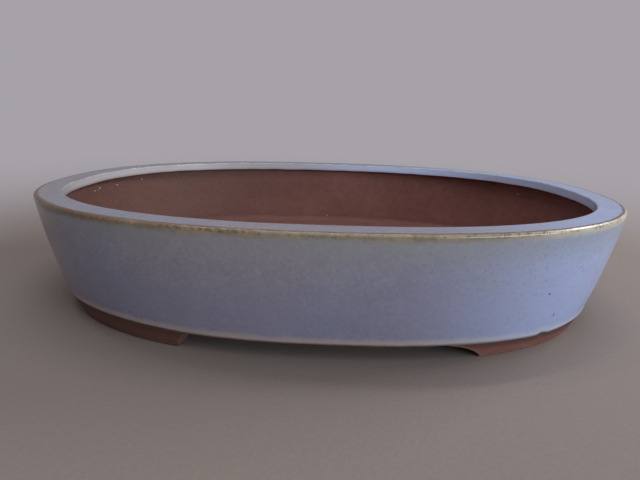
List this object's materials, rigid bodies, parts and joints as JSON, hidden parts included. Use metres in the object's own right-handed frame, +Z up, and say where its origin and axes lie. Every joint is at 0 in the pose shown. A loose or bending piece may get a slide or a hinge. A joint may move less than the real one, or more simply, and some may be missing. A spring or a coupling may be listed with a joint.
{
  "type": "bonsai pot",
  "caption": "Low oval bonsai pot with a flat inward-turned rim, leaning wall, drained floor and short feet, in pale blue-grey glaze over brown clay.",
  "frame": {"origin": "on the ground under the middle of the pot, in the plane of the four foot soles", "axes": "+X along the pot's long axis to the right seen from the front, +Z up, and -Y towards the front"},
  "size_m": [0.4, 0.307, 0.0755],
  "materials": {
    "glaze": "satin",
    "bare_clay": "matte"
  },
  "bodies": {
    "root": {"rim_band": "glaze", "wall_ring": "glaze", "base_slab": "bare_clay", "seam_coil": "bare_clay", "foot_front_left": "bare_clay", "foot_front_right": "bare_clay", "foot_back_left": "bare_clay", "foot_back_right": "bare_clay"}
  },
  "joints": []
}
